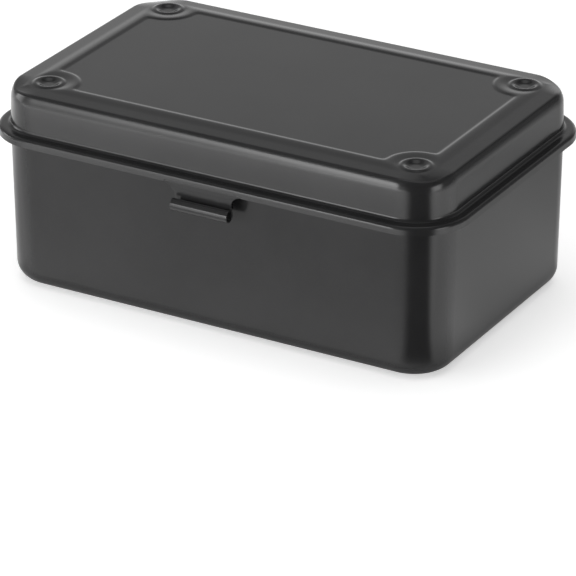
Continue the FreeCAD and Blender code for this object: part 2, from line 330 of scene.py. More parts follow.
# fine unevenness of a sprayed and baked coat: tone, gloss and orange peel
def paintFilmGroup():
    tree = bpy.data.node_groups.new("paintFilm", "ShaderNodeTree")
    for label, kind in filmInputs.items():
        tree.interface.new_socket(label, in_out="INPUT", socket_type=kind)
    for label, kind in filmOutputs.items():
        tree.interface.new_socket(label, in_out="OUTPUT", socket_type=kind)
    source = tree.nodes.new("NodeGroupInput")
    target = tree.nodes.new("NodeGroupOutput")
    place = newNode(tree, "ShaderNodeTexCoord").outputs["Object"]
    cloud = newNode(tree, "ShaderNodeTexNoise", {
        "Vector": place, "Scale": source.outputs["Cloud Size"],
        "Detail": filmForm["cloudDetail"], "Roughness": filmForm["cloudRoughness"]})
    peel = newNode(tree, "ShaderNodeTexNoise", {
        "Vector": place, "Scale": source.outputs["Peel Size"],
        "Detail": filmForm["peelDetail"], "Roughness": filmForm["peelRoughness"]})
    speckSize = calc(tree, "MULTIPLY", source.outputs["Peel Size"], filmForm["speckFineness"])
    speck = newNode(tree, "ShaderNodeTexNoise", {
        "Vector": place, "Scale": speckSize, "Detail": filmForm["speckDetail"]})

    def blended(shares):
        ofSpeck = calc(tree, "MULTIPLY", speck.outputs[0], shares[1])
        return calc(tree, "ADD", calc(tree, "MULTIPLY", cloud.outputs[0], shares[0]), ofSpeck)

    toneShare = smoothStep(tree, blended(filmForm["toneShares"]), *filmForm["span"], 0.0, 1.0)
    tone = mixColours(tree, toneShare, source.outputs["Deep Tone"], source.outputs["Light Tone"])
    gloss = smoothStep(
        tree, blended(filmForm["glossShares"]), *filmForm["span"],
        source.outputs["Gloss Low"], source.outputs["Gloss High"])
    tree.links.new(tone, target.inputs["Tone"])
    tree.links.new(gloss, target.inputs["Roughness"])
    tree.links.new(peel.outputs[0], target.inputs["Height"])
    return tree


paintFilm = paintFilmGroup()


def paintMaterial(name, look):
    material = bpy.data.materials.new(name)
    material.use_nodes = True
    tree = material.node_tree
    shader = tree.nodes["Principled BSDF"]
    film = tree.nodes.new("ShaderNodeGroup")
    film.node_tree = paintFilm
    for label in filmInputs:
        film.inputs[label].default_value = look[label]
    bump = newNode(tree, "ShaderNodeBump", {
        "Strength": look["peelStrength"], "Distance": look["peelDepth"] * mm,
        "Height": film.outputs["Height"]})
    tree.links.new(film.outputs["Tone"], shader.inputs["Base Color"])
    tree.links.new(film.outputs["Roughness"], shader.inputs["Roughness"])
    tree.links.new(bump.outputs["Normal"], shader.inputs["Normal"])
    shader.inputs["IOR"].default_value = look["ior"]
    return material


blackPaintLook = {
    "Deep Tone": (0.018, 0.018, 0.0185, 1.0),
    "Light Tone": (0.023, 0.023, 0.0235, 1.0),
    "Gloss Low": 0.16,
    "Gloss High": 0.19,
    "Peel Size": 620.0,  # waves per metre
    "Cloud Size": 30.0,
    "peelStrength": 0.015,
    "peelDepth": 0.02,
    "ior": 1.5,
}
blackPaint = paintMaterial("blackPaint", blackPaintLook)
wireLook = {**blackPaintLook, "Gloss Low": 0.34, "Gloss High": 0.42, "Peel Size": 900.0}
wirePaint = paintMaterial("wirePaint", wireLook)
print("paint made")

hingeForm = {
    "length": 40.0,
    "cornerGap": 13.0,
    "relief": 0.4,
    "notch": 3.7,
    "pinSeat": 8.0,
    "pinFit": 0.02,
    "pinChamfer": 0.25,
    "pinEnd": 2.0,
    "pinSteps": 6,
    "pinSides": 40,
    "pinSharp": 30.0,  # degrees
    "knuckleClearance": 0.05,
    "knuckleCurl": 290.0,  # degrees
    "knuckleRings": 4,
    "knuckleAcross": 8,
    "arcStep": 5.0,  # degrees
}
hingeX = straightX - hingeForm["cornerGap"] - hingeForm["length"] / 2
notchHalf = hingeForm["length"] / 2 + hingeForm["relief"]
notchBottom = axisZ - hingeForm["notch"]
pinRadius = boxForm["rimBead"] / 2 - boxForm["sheet"] - hingeForm["pinFit"]

catchForm = {
    "width": 22.5,
    "fillet": 3.0,
    "root": 2.4,
    "drop": 8.2,
    "bead": 2.7,
    "gap": 0.25,
    "roll": 268.0,  # degrees
    "relief": 0.3,
    "rootRings": 3,
    "neckRings": 18,
    "arcStep": 5.0,  # degrees
    "across": 20,
}
catchHalf = catchForm["width"] / 2 + catchForm["fillet"]
catchCut = catchHalf + catchForm["relief"]
catchRootZ = axisZ - catchForm["root"]

bodyForm = {
    "bottomRadius": 7.5,
    "rimCurl": 285.0,  # degrees
    "cornerCount": 22,
    "wallRings": 6,
    "lengthSteps": 12,
    "depthSteps": 6,
}


def makeBody():
    bendRadius = bodyForm["bottomRadius"] - half
    lowU = wallTopU - (wallTopZ - bodyForm["bottomRadius"]) * math.tan(wallLean)
    bendU = lowU - bendRadius / math.cos(wallLean)
    footZ = bodyForm["bottomRadius"] - bendRadius * math.sin(wallLean)
    section = walkSection((bendU, half), 0.0, [
        ("arc", bendRadius, 90.0 - boxForm["wallLean"]),
        ("run", (wallTopZ - footZ) / math.cos(wallLean), bodyForm["wallRings"]),
        ("arc", curlRadius, -bodyForm["rimCurl"]),
    ])
    bendCount = math.ceil((90.0 - boxForm["wallLean"]) / meshForm["arcStep"])
    section = breakAt(section, [notchBottom, catchRootZ], bendCount, bendCount + bodyForm["wallRings"])
    edges = [hingeX - notchHalf, hingeX + notchHalf, catchCut]
    stationsX = mirrored(spread(0.0, straightX, bodyForm["lengthSteps"]) + edges)
    stationsY = mirrored(spread(0.0, straightY, bodyForm["depthSteps"]))

    def notched(middle):
        atHinge = abs(abs(middle.x) - hingeX) < notchHalf and middle.y > straightY and middle.z > notchBottom
        atCatch = abs(middle.x) < catchCut and middle.y < -straightY and middle.z > catchRootZ
        return atHinge or atCatch

    body = panMesh(
        "bodyPan", panLines(straightX, stationsX, bodyForm["cornerCount"]),
        panLines(straightY, stationsY, bodyForm["cornerCount"]), bendU, lambda outX, outY: half, section,
        upward=False, gone=notched)
    body.data.materials.append(blackPaint)
    return finishSheet(body)


bodyPan = makeBody()
print("body pan:", len(bodyPan.data.polygons), "faces")

lidForm = {
    "height": 16.8,
    "lean": 1.5,  # degrees
    "edgeRadius": 1.6,
    "edgeTurn": 63.0,  # degrees from level, where the tight edge goes over into the shoulder
    "shoulderRadius": 10.0,
    "rootRadius": 1.5,
    "lipRadius": 1.5,
    "skirtClearance": 1.4,
    "skirtDepth": 3.4,
    "skirtFlare": 3.5,  # degrees
    "crownSlope": 4.0,  # degrees, fall of the border outside the raised line
    "crownInset": 10.2,
    "crownBlend": 1.2,
    "cornerDrop": 0.9,
    "stopHeight": 1.4,
    "stopRamp": 5.5,
    "stopMargin": 0.7,
    "cornerCount": 26,
    "arcStep": 4.0,  # degrees
    "wallRings": 3,
    "ledgeRings": 2,
    "lipStep": 3.0,  # degrees
    "lipRings": 12,
    "skirtRings": 16,
    "aboveTab": 0.75,  # share of the skirt's rings above the lift tab's top edge
    "settleRounds": 6,  # until the plate's edge and the wall's top agree
    # the plate's grid is wide in the middle and fine towards the dimples
    "middleX": 66.0,
    "middleXSteps": 8,
    "endXSteps": 30,
    "middleY": 29.0,
    "middleYSteps": 4,
    "endYSteps": 29,
}
panelZ = ledgeTop + lidForm["height"]
skirtU = axisU + boxForm["rimBead"] / 2 + lidForm["skirtClearance"] + boxForm["sheet"]
skirtBottom = ledgeTop - lidForm["skirtDepth"]

tabForm = {
    "width": 25.0,
    "fillet": 4.5,
    "root": 0.8,
    "drop": 8.1,
    "bead": 4.99,  # 0.01 under the solid's, so that it stays inside
    "bendRadius": 2.0,
    "slope": 10.5,  # degrees
    "roll": 275.0,  # degrees
    "latchClearance": 0.2,
    "rounding": 0.2,
    "rootRings": 2,
    "neckRings": 16,
    "arcStep": 5.0,  # degrees
    "across": 24,
}
tabHalf = tabForm["width"] / 2 + tabForm["fillet"]
tabTop = skirtBottom + tabForm["root"]

reliefInsets = {"ridgeX": 13.0, "ridgeY": 12.2, "dimpleX": 16.6, "dimpleY": 15.2}
reliefForm = {
    "Ridge X": (boxForm["length"] / 2 - reliefInsets["ridgeX"]) * mm,
    "Ridge Y": (boxForm["depth"] / 2 - reliefInsets["ridgeY"]) * mm,
    "Ridge Height": 0.4 * mm,
    "Crest Half": 0.35 * mm,
    "Inner Reach": 1.75 * mm,
    "Outer Reach": 5.0 * mm,
    "Scoop Radius": 11.0 * mm,
    "Turn Softness": 4.0 * mm,
    "Dimple X": (boxForm["length"] / 2 - reliefInsets["dimpleX"]) * mm,
    "Dimple Y": (boxForm["depth"] / 2 - reliefInsets["dimpleY"]) * mm,
    "Crest Radius": 5.4 * mm,
    "Foot Radius": 6.8 * mm,
    "Crest Height": 0.42 * mm,
    "Floor Radius": 2.2 * mm,
    "Bowl Depth": 1.2 * mm,
}


# raised line with corner scoops and the dimples in them, pressed into the lid's plate
def pressedReliefTree():
    tree, source, target = geometryTree("pressedRelief", list(reliefForm))
    size = source.outputs
    place = newNode(tree, "ShaderNodeSeparateXYZ", {0: newNode(tree, "GeometryNodeInputPosition").outputs[0]})
    farX = calc(tree, "ABSOLUTE", place.outputs[0])
    farY = calc(tree, "ABSOLUTE", place.outputs[1])
    toSide = calc(tree, "SUBTRACT", size["Ridge X"], farX)
    toFront = calc(tree, "SUBTRACT", size["Ridge Y"], farY)
    toEdge = calc(tree, "MINIMUM", toSide, toFront)
    awayX = calc(tree, "SUBTRACT", farX, size["Dimple X"])
    awayY = calc(tree, "SUBTRACT", farY, size["Dimple Y"])
    squareX = calc(tree, "MULTIPLY", awayX, awayX)
    squareY = calc(tree, "MULTIPLY", awayY, awayY)
    away = calc(tree, "SQRT", calc(tree, "ADD", squareX, squareY))
    toScoop = calc(tree, "SUBTRACT", away, size["Scoop Radius"])
    toLine = calc(tree, "SMOOTH_MIN", toEdge, toScoop, size["Turn Softness"])
    outside = calc(tree, "MULTIPLY", toLine, -1.0)
    inner = smoothStep(tree, toLine, size["Crest Half"], size["Inner Reach"], 1.0, 0.0)
    outer = smoothStep(tree, outside, size["Crest Half"], size["Outer Reach"], 1.0, 0.0)
    ridge = calc(tree, "MULTIPLY", calc(tree, "MULTIPLY", inner, outer), size["Ridge Height"])
    crest = smoothStep(tree, away, size["Crest Radius"], size["Foot Radius"], size["Crest Height"], 0.0)
    bowl = smoothStep(tree, away, size["Floor Radius"], size["Crest Radius"], size["Bowl Depth"], 0.0)
    lift = calc(tree, "ADD", ridge, calc(tree, "SUBTRACT", crest, bowl))
    shift = newNode(tree, "ShaderNodeCombineXYZ", {2: lift})
    pressed = newNode(tree, "GeometryNodeSetPosition", {
        "Geometry": size["Geometry"], "Offset": shift.outputs[0]})
    closeTree(tree, source, target, pressed.outputs[0])
    return tree


def makeLid():
    tilt = math.radians(lidForm["lean"])
    fall = math.radians(lidForm["crownSlope"])
    plateMid = panelZ - half
    crownU = cornerRadius - lidForm["crownInset"]
    blend = lidForm["crownBlend"]

    def borderHeight(u):
        past = u - crownU
        if past <= -blend:
            return plateMid
        if past >= blend:
            return plateMid - math.tan(fall) * past
        return plateMid - math.tan(fall) * (past + blend) ** 2 / (4 * blend)

    def wallU(z):
        return cornerRadius - half / math.cos(tilt) - (z - ledgeTop) * math.tan(tilt)

    edgeRadius = lidForm["edgeRadius"] - half
    shoulderRadius = lidForm["shoulderRadius"] - half
    edgeTurn = math.radians(lidForm["edgeTurn"])
    edgeOut = edgeRadius * (math.sin(edgeTurn) - math.sin(fall))
    edgeOut += shoulderRadius * (math.cos(tilt) - math.sin(edgeTurn))
    edgeDrop = edgeRadius * (math.cos(fall) - math.cos(edgeTurn))
    edgeDrop += shoulderRadius * (math.cos(edgeTurn) - math.sin(tilt))
    wallTop = plateMid - edgeDrop
    for _ in range(lidForm["settleRounds"]):
        plateRadius = wallU(wallTop) - edgeOut
        wallTop = borderHeight(plateRadius) - edgeDrop
    rootRadius = lidForm["rootRadius"] + half
    rootZ = ledgeTop + lidForm["rootRadius"]
    rootU = wallU(rootZ) + rootRadius / math.cos(tilt)
    flareOut = (lidForm["skirtDepth"] - lidForm["lipRadius"]) * math.sin(math.radians(lidForm["skirtFlare"]))
    edgeRings = math.ceil((lidForm["edgeTurn"] - lidForm["crownSlope"]) / lidForm["arcStep"])
    edgeRings += math.ceil((90.0 - lidForm["lean"] - lidForm["edgeTurn"]) / lidForm["arcStep"])
    wallRun = (wallTop - rootZ + rootRadius * math.sin(tilt)) / math.cos(tilt)
    section = walkSection((plateRadius, borderHeight(plateRadius)), -lidForm["crownSlope"], [
        ("arc", edgeRadius, lidForm["crownSlope"] - lidForm["edgeTurn"]),
        ("arc", shoulderRadius, lidForm["edgeTurn"] + lidForm["lean"] - 90.0),
        ("run", wallRun, lidForm["wallRings"]),
        ("arc", rootRadius, 90.0 - lidForm["lean"]),
        ("run", skirtU - flareOut - lidForm["lipRadius"] - rootU, lidForm["ledgeRings"]),
    ], arcStep=lidForm["arcStep"])
    fixedRings = len(section)
    wallLow = section[edgeRings + 1][1]

    # the border sinks towards the middle of each corner
    def cornerSink(outX, outY):
        u = math.hypot(outX, outY)
        if u <= crownU:
            return 0.0
        share = min((u - crownU) / (plateRadius - crownU), 1.0)
        inCorner = 2 * outX * outY / (u * u)
        return lidForm["cornerDrop"] * share ** 2 * inCorner ** 2

    def plateHeight(outX, outY):
        return borderHeight(math.hypot(outX, outY)) - cornerSink(outX, outY)

    edge = walkSection(section[-1], 0.0, [
        ("arc", lidForm["lipRadius"] - half, lidForm["skirtFlare"] - 90.0),
        ("run", lidForm["skirtDepth"] - lidForm["lipRadius"], lidForm["lipRings"]),
    ], arcStep=lidForm["lipStep"])
    section = section + [None] * lidForm["skirtRings"]
    stopY = straightY + axisU - lidForm["stopMargin"]
    stopZ = axisZ + lidForm["stopHeight"]

    # the skirt ends higher along the rear
    def skirtEnd(y):
        share = (y - stopY + lidForm["stopRamp"]) / lidForm["stopRamp"]
        return skirtBottom + (stopZ - skirtBottom) * min(max(share, 0.0), 1.0)

    lengths = [0.0]
    for k in range(1, len(edge)):
        lengths.append(lengths[-1] + math.dist(edge[k - 1], edge[k]))

    def alongEdge(reach):
        for k in range(1, len(edge)):
            if reach <= lengths[k] or k == len(edge) - 1:
                share = (reach - lengths[k - 1]) / (lengths[k] - lengths[k - 1])
                return tuple(a + share * (b - a) for a, b in zip(edge[k - 1], edge[k]))

    def reachOf(z):
        for k in range(1, len(edge)):
            if edge[k][1] <= z:
                share = (edge[k - 1][1] - z) / (edge[k - 1][1] - edge[k][1])
                return lengths[k - 1] + share * (lengths[k] - lengths[k - 1])
        return lengths[-1]

    tabReach = reachOf(tabTop)

    def ringPoint(k, centre, out):
        if k < fixedRings:
            u, z = section[k]
            fade = min(max((z - wallLow) / (section[edgeRings // 2][1] - wallLow), 0.0), 1.0)
            return u, z - fade * cornerSink(*(out * plateRadius))
        reach = reachOf(skirtEnd(centre.y + out.y * skirtU))
        share = (k - fixedRings + 1) / lidForm["skirtRings"]
        if reach > tabReach:  # one ring lies at the lift tab's top edge
            above = lidForm["aboveTab"]
            if share <= above:
                return alongEdge(tabReach * share / above)
            return alongEdge(tabReach + (reach - tabReach) * (share - above) / (1 - above))
        return alongEdge(reach * share)

    def atTab(middle):
        return abs(middle.x) < tabHalf and middle.y < -straightY - cornerRadius and middle.z < tabTop

    middleX, middleY = lidForm["middleX"], lidForm["middleY"]
    stationsX = mirrored(
        spread(0.0, middleX, lidForm["middleXSteps"]) + [tabHalf]
        + spread(middleX, straightX, lidForm["endXSteps"]))
    stationsY = mirrored(
        spread(0.0, middleY, lidForm["middleYSteps"]) + spread(middleY, straightY, lidForm["endYSteps"]))
    lid = panMesh(
        "lidPan", panLines(straightX, stationsX, lidForm["cornerCount"]),
        panLines(straightY, stationsY, lidForm["cornerCount"]), plateRadius, plateHeight, section,
        upward=True, ringPoint=ringPoint, gone=atTab)
    addTree(lid, pressedReliefTree(), reliefForm, blackPaint)
    return finishSheet(lid)


lidPan = makeLid()
print("lid pan:", len(lidPan.data.polygons), "faces")


# half width of a hanging tongue that flares into what carries it
def flare(z, top, width, fillet):
    below = min(max(top - z, 0.0), fillet)
    return width / 2 + fillet - math.sqrt(fillet ** 2 - (fillet - below) ** 2)


def makeTab():
    slope = math.radians(tabForm["slope"])
    roll = tabForm["bead"] / 2 - half
    bend = tabForm["bendRadius"]
    startU = skirtU - half
    tabU = axisU + boxForm["rimBead"] / 2 + tabForm["latchClearance"] + tabForm["bead"] / 2
    tabZ = skirtBottom - tabForm["drop"]
    slopeRun = (startU - bend * (1 - math.cos(slope)) - tabU + roll * math.cos(slope)) / math.sin(slope)
    bendZ = tabZ + (roll + bend) * math.sin(slope) + slopeRun * math.cos(slope)
    section = walkSection((startU, tabTop), -90.0, [
        ("run", tabTop - skirtBottom, tabForm["rootRings"]),
        ("run", skirtBottom - bendZ, tabForm["neckRings"]),
        ("arc", bend, -tabForm["slope"]),
        ("run", slopeRun, tabForm["neckRings"]),
        ("arc", roll, tabForm["slope"] + tabForm["roll"]),
    ], arcStep=tabForm["arcStep"])
    widths = [flare(z, skirtBottom, tabForm["width"], tabForm["fillet"]) for u, z in section]
    tab = stripMesh("liftTab", section, widths, -1, tabForm["across"])
    tab.data.materials.append(blackPaint)
    return finishSheet(tab, tabForm["rounding"])


liftTab = makeTab()
print("lift tab made")


def makeCatch():
    roll = catchForm["bead"] / 2 - half
    catchZ = boxForm["rimHeight"] - catchForm["drop"]
    wallU = cornerRadius - (wallTopZ - catchZ) * math.tan(wallLean)
    catchU = wallU + catchForm["gap"] + catchForm["bead"] / 2
    across = curlRadius + roll
    neck = math.sqrt((catchU - axisU) ** 2 + (catchZ - axisZ) ** 2 - across ** 2)
    heading = math.atan2(catchZ - axisZ, catchU - axisU) - math.atan2(across, neck)
    slope = -math.degrees(heading) - 90.0
    rootU = wallTopU - (wallTopZ - catchRootZ) * math.tan(wallLean)
    section = walkSection((rootU, catchRootZ), 90.0 - boxForm["wallLean"], [
        ("run", (wallTopZ - catchRootZ) / math.cos(wallLean), catchForm["rootRings"]),
        ("arc", curlRadius, boxForm["wallLean"] - 180.0 - slope),
        ("run", neck, catchForm["neckRings"]),
        ("arc", roll, slope + catchForm["roll"]),
    ], arcStep=catchForm["arcStep"])
    widths = []
    for u, z in section:
        outside = u > axisU or z < catchRootZ - half
        widths.append(flare(z, axisZ, catchForm["width"], catchForm["fillet"]) if outside else catchHalf)
    catch = stripMesh("frontCatch", section, widths, -1, catchForm["across"])
    catch.data.materials.append(blackPaint)
    return finishSheet(catch)


frontCatch = makeCatch()
print("front catch made")


# sets the same piece at the left and at the right hinge
def hingePairTree():
    tree, source, target = geometryTree("hingePair", ["Hinge X"])
    left = newNode(tree, "ShaderNodeCombineXYZ", {0: calc(tree, "MULTIPLY", source.outputs["Hinge X"], -1.0)})
    right = newNode(tree, "ShaderNodeCombineXYZ", {0: source.outputs["Hinge X"]})
    places = newNode(tree, "GeometryNodeMeshLine", {
        "Count": 2, "Start Location": left.outputs[0], "Offset": right.outputs[0]}, mode="END_POINTS")
    pair = newNode(tree, "GeometryNodeInstanceOnPoints", {
        "Points": places.outputs[0], "Instance": source.outputs["Geometry"]})
    closeTree(tree, source, target, pair.outputs[0])
    return tree


hingePair = hingePairTree()


def makeKnuckles():
    radius = pinRadius + hingeForm["knuckleClearance"] + half
    section = walkSection((axisU + radius, ledgeUnder), -90.0, [
        ("run", ledgeUnder - axisZ, hingeForm["knuckleRings"]),
        ("arc", radius, -hingeForm["knuckleCurl"]),
    ], arcStep=hingeForm["arcStep"])
    widths = [hingeForm["length"] / 2] * len(section)
    knuckles = stripMesh("hingeKnuckles", section, widths, 1, hingeForm["knuckleAcross"])
    thicken(knuckles, False)
    addTree(knuckles, hingePair, {"Hinge X": hingeX * mm}, blackPaint)
    return bakeModifiers(knuckles)


def makeWires():
    chamfer = hingeForm["pinChamfer"]
    reach = notchHalf + hingeForm["pinSeat"]
    straight = reach - hingeForm["pinEnd"]
    stops = [(-reach, pinRadius - chamfer), (-reach + chamfer, pinRadius)]
    ends = [(-x, r) for x, r in reversed(stops)]
    stops += [(x, pinRadius) for x in spread(-straight, straight, hingeForm["pinSteps"])] + ends
    sides = hingeForm["pinSides"]
    verts = []
    faces = []
    for x, r in stops:
        for k in range(sides):
            angle = 2 * math.pi * k / sides
            verts.append((x, straightY + axisU + r * math.cos(angle), axisZ + r * math.sin(angle)))
    for row in range(len(stops) - 1):
        for k in range(sides):
            n = (k + 1) % sides
            faces.append((row * sides + k, row * sides + n, (row + 1) * sides + n, (row + 1) * sides + k))
    faces.append(tuple(reversed(range(sides))))
    faces.append(tuple(range((len(stops) - 1) * sides, len(stops) * sides)))
    faces = [tuple(reversed(face)) for face in faces]
    wires = sheetMesh("hingeWires", verts, faces)
    addTree(wires, hingePair, {"Hinge X": hingeX * mm}, wirePaint)
    return bakeModifiers(wires, hingeForm["pinSharp"])


hingeKnuckles = makeKnuckles()
hingeWires = makeWires()
print("hinges made")

for piece, body, slot, nodes in (
    (bodyPan, "body", "painted_steel", ["body_shell"]),
    (frontCatch, "body", "painted_steel", ["body_catch"]),
    (hingeWires, "body", "hinge_wire", ["left_hinge_pin", "right_hinge_pin"]),
    (lidPan, "lid", "painted_steel", ["lid_shell"]),
    (liftTab, "lid", "painted_steel", ["lift_tab"]),
    (hingeKnuckles, "lid", "painted_steel", ["left_hinge_knuckle", "right_hinge_knuckle"]),
):
    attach(piece, body)
    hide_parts(*nodes)

cameraView = {
    "place": (757.2, -1326.4, 716.5),
    "forward": (-0.4480, 0.7853, -0.4272),
    "up": (-0.2117, 0.3711, 0.9041),
    "focal": 4250.7,  # in pixels of the photograph
    "frame": 576.0,
    "sensor": 36.0,  # millimetres
}


def makeCamera():
    camera = bpy.data.cameras.new("camera")
    camera.sensor_fit = "HORIZONTAL"
    camera.sensor_width = cameraView["sensor"]
    camera.lens = camera.sensor_width * cameraView["focal"] / cameraView["frame"]
    holder = bpy.data.objects.new("camera", camera)
    forward = Vector(cameraView["forward"]).normalized()
    right = forward.cross(Vector(cameraView["up"])).normalized()
    up = right.cross(forward)
    turn = Matrix((right, up, -forward)).transposed()
    holder.matrix_world = Matrix.Translation(Vector(cameraView["place"]) * mm) @ turn.to_4x4()
    scene.collection.objects.link(holder)
    scene.camera = holder


makeCamera()

studio = {
    "floorColour": (0.8, 0.8, 0.8, 1.0),
    "floorGlow": 0.52,
    "floorSize": 4.0,  # metres
    "floorDrop": 0.0003,  # metres, keeps the floor clear of the box's underside
    # painted reflections: what the paint mirrors of the floor's glow, which only glossy rays see, by the
    # distance in metres from the box and from its front
    "roundStops": [
        (0.0, 0.05), (0.01, 0.3), (0.05, 0.1), (0.1, 0.0), (0.15, 0.18), (0.2, 0.28),
        (0.35, 0.05), (0.6, 0.0)],
    "frontStops": [
        (0.0, 0.0), (0.01, 0.22), (0.05, 0.1), (0.1, 0.0), (0.13, 0.02), (0.2, 0.85),
        (0.3, 0.7), (0.6, 0.6)],
    # the graded sky towards the back and the front, from the horizon at 0 to overhead at 1
    "skyStops": [
        (0.0, 0.95), (0.24, 0.9), (0.31, 0.74), (0.42, 0.405), (0.53, 0.405), (0.7, 0.43), (0.82, 0.12),
        (0.9, 0.15), (0.96, 0.9), (1.0, 1.0)],
    "frontSkyStops": [(0.0, 0.8), (0.15, 0.7), (0.3, 0.2), (1.0, 0.14)],
    "skyTurn": (-0.15, 0.15),
    # where the sky falls off to the right and to the left, and the share that is left there
    "rightTurn": (-0.15, 0.35),
    "rightShare": 0.2,
    "leftTurn": (-0.95, -0.68),
    "leftShare": 0.3,
    "cameraSky": (1.0, 1.0, 1.0, 1.0),
    # soft boxes standing round the box: turn from the front towards the right in degrees,
    # distance, width, lower and upper edge in metres, power in watts
    "softBoxes": {
        "leftBox": (-34.0, 0.5, 0.6, 0.01, 0.23, 1.65),
        "rightBox": (72.0, 0.45, 0.22, 0.01, 0.2, 0.4),
    },
    # cards that only the paint mirrors, painted highlights: turn, distance, width, lower and upper edge,
    # levels on the left and right, width of the fading sides, height of the fading foot, how much higher it
    # is on the left
    "glowCards": {
        "leftGlow": (-34.0, 0.5, 0.64, -0.07, 0.23, (0.4, 5.6), 0.1, 0.25, 0.07),
        "farLeftGlow": (-74.0, 0.5, 0.3, 0.0, 0.21, (3.0, 2.0), 0.1, 0.1, 0.0),
        "rightGlow": (74.0, 0.45, 0.21, 0.01, 0.2, (3.0, 3.0), 0.07, 0.1, 0.0),
    },
    # where a card's level and foot change from left to right, in shares of half its width
    "levelSpan": (-0.5, 0.5),
    "liftSpan": (0.2, 0.5),
    "spotPlace": (-0.15, -0.8, 0.0),  # a brighter part of the floor's glow below the left card, seen only in the paint as a painted reflection
    "spotReach": 0.52,
    "spotGlow": 2.4,
    # painted reflection: the floor's glow behind the left end is brighter, and only the paint shows it
    "leftEnd": (-0.3, -0.11),
    "leftEndBack": (-0.1, 0.0),
    "leftEndGlow": 0.6,
    # a wide overhead lamp
    "overheadSize": 1.6,
    "overheadHeight": 1.2,
    "overheadPower": 10.3,
    # a dark card that only the paint mirrors: a painted dark reflection
    "cardColour": (0.01, 0.01, 0.01, 1.0),
    "cardFrom": (0.0775, -0.04),  # metres, under the front right corner
    "cardLift": 0.0003,
    "cardReach": 0.6,
    "cardHeight": 0.5,
    "cardSteps": 8,
    "cardTurns": (-1.0, 67.0),  # degrees from the front towards the right
    "cardFades": (22.0, 12.0),
    "cardStart": (0.022, 0.038),  # where it begins and is full, from that point
    # a brighter part of the floor's glow beside the dark card, seen only in the paint as a painted
    # reflection: where it begins, is full, ends and is gone
    "sectorTurns": (58.0, 70.0, 110.0, 150.0),
    "sectorStart": (0.03, 0.06),
    "sectorGlow": 0.5,
}


def greyRamp(tree, value, levels):
    ramp = newNode(tree, "ShaderNodeValToRGB", {"Fac": value})
    stops = ramp.color_ramp.elements
    while len(stops) < len(levels):
        stops.new(0.5)
    for stop, (at, level) in zip(stops, levels):
        stop.position = at
        stop.color = (level, level, level, 1.0)
    return ramp.outputs[0]


def areaLamp(name, width, height, power, place, facing):
    lamp = bpy.data.lights.new(name, "AREA")
    lamp.shape = "RECTANGLE"
    lamp.size, lamp.size_y = width, height
    lamp.energy = power
    holder = bpy.data.objects.new(name, lamp)
    holder.location = place
    holder.rotation_euler = (-facing).to_track_quat("Z", "Y").to_euler()
    holder.visible_camera = False
    holder.visible_glossy = False
    scene.collection.objects.link(holder)


def stagePiece(name, points, faces, material):
    mesh = bpy.data.meshes.new(name)
    mesh.from_pydata(points, [], faces)
    mesh.materials.append(material)
    piece = bpy.data.objects.new(name, mesh)
    scene.collection.objects.link(piece)
    return piece


def mirroredPiece(name, points, faces, material):
    piece = stagePiece(name, points, faces, material)
    piece.visible_camera = False
    piece.visible_diffuse = False
    piece.visible_shadow = False
    piece.visible_transmission = False


def emptyMaterial(name):
    material = bpy.data.materials.new(name)
    material.use_nodes = True
    material.node_tree.nodes.clear()
    return material, material.node_tree


def addGlow(tree, under, strength):
    glow = newNode(tree, "ShaderNodeEmission", {"Strength": strength})
    both = newNode(tree, "ShaderNodeAddShader", {0: under.outputs[0], 1: glow.outputs[0]})
    newNode(tree, "ShaderNodeOutputMaterial", {"Surface": both.outputs[0]})


def objectPlace(tree):
    place = newNode(tree, "ShaderNodeTexCoord").outputs["Object"]
    return newNode(tree, "ShaderNodeSeparateXYZ", {0: place}).outputs


def placeDistance(tree, point):
    place = newNode(tree, "ShaderNodeTexCoord").outputs["Object"]
    return newNode(tree, "ShaderNodeVectorMath", {0: place, 1: point}, operation="DISTANCE").outputs["Value"]


def cornerDistance(tree):
    return placeDistance(tree, (*studio["cardFrom"], 0.0))


def cornerTurn(tree, place):
    aside = calc(tree, "SUBTRACT", place[0], studio["cardFrom"][0])
    ahead = calc(tree, "SUBTRACT", studio["cardFrom"][1], place[1])
    return calc(tree, "DEGREES", calc(tree, "ARCTAN2", aside, ahead))


def sectorShare(tree, turn, begin, full, last, gone):
    rising = smoothStep(tree, turn, begin, full, 0.0, 1.0)
    return calc(tree, "MULTIPLY", rising, smoothStep(tree, turn, last, gone, 1.0, 0.0))


# the level direction at a turn from the front towards the right
def outwardAt(turn):
    angle = math.radians(turn)
    return Vector((math.sin(angle), -math.cos(angle), 0.0))


# a glowing card that only glossy rays see: a painted highlight in the paint
def makeGlowCard(name, turn, away, width, low, high, levels, sideFade, footFade, footLift):
    material, tree = emptyMaterial(name)
    place = objectPlace(tree)
    outward = outwardAt(turn)
    along = Vector((-outward.y, outward.x, 0.0))
    shift = calc(tree, "MULTIPLY_ADD", place[0], along.x, calc(tree, "MULTIPLY", place[1], along.y))
    edge = width / 2
    levelFrom, levelTo = (edge * share for share in studio["levelSpan"])
    liftFrom, liftTo = (edge * share for share in studio["liftSpan"])
    level = smoothStep(tree, shift, levelFrom, levelTo, *levels)
    fade = smoothStep(tree, calc(tree, "ABSOLUTE", shift), edge - sideFade, edge, 1.0, 0.0)
    sides = calc(tree, "MULTIPLY", level, fade)
    height = calc(tree, "SUBTRACT", place[2], smoothStep(tree, shift, liftFrom, liftTo, footLift, 0.0))
    strength = calc(tree, "MULTIPLY", sides, smoothStep(tree, height, low, low + footFade, 0.0, 1.0))
    addGlow(tree, newNode(tree, "ShaderNodeBsdfTransparent"), strength)
    points = [
        outward * away + along * edge * side + Vector((0.0, 0.0, z))
        for side, z in ((1, low), (-1, low), (-1, high), (1, high))]
    mirroredPiece(name, points, [(0, 1, 2, 3)], material)
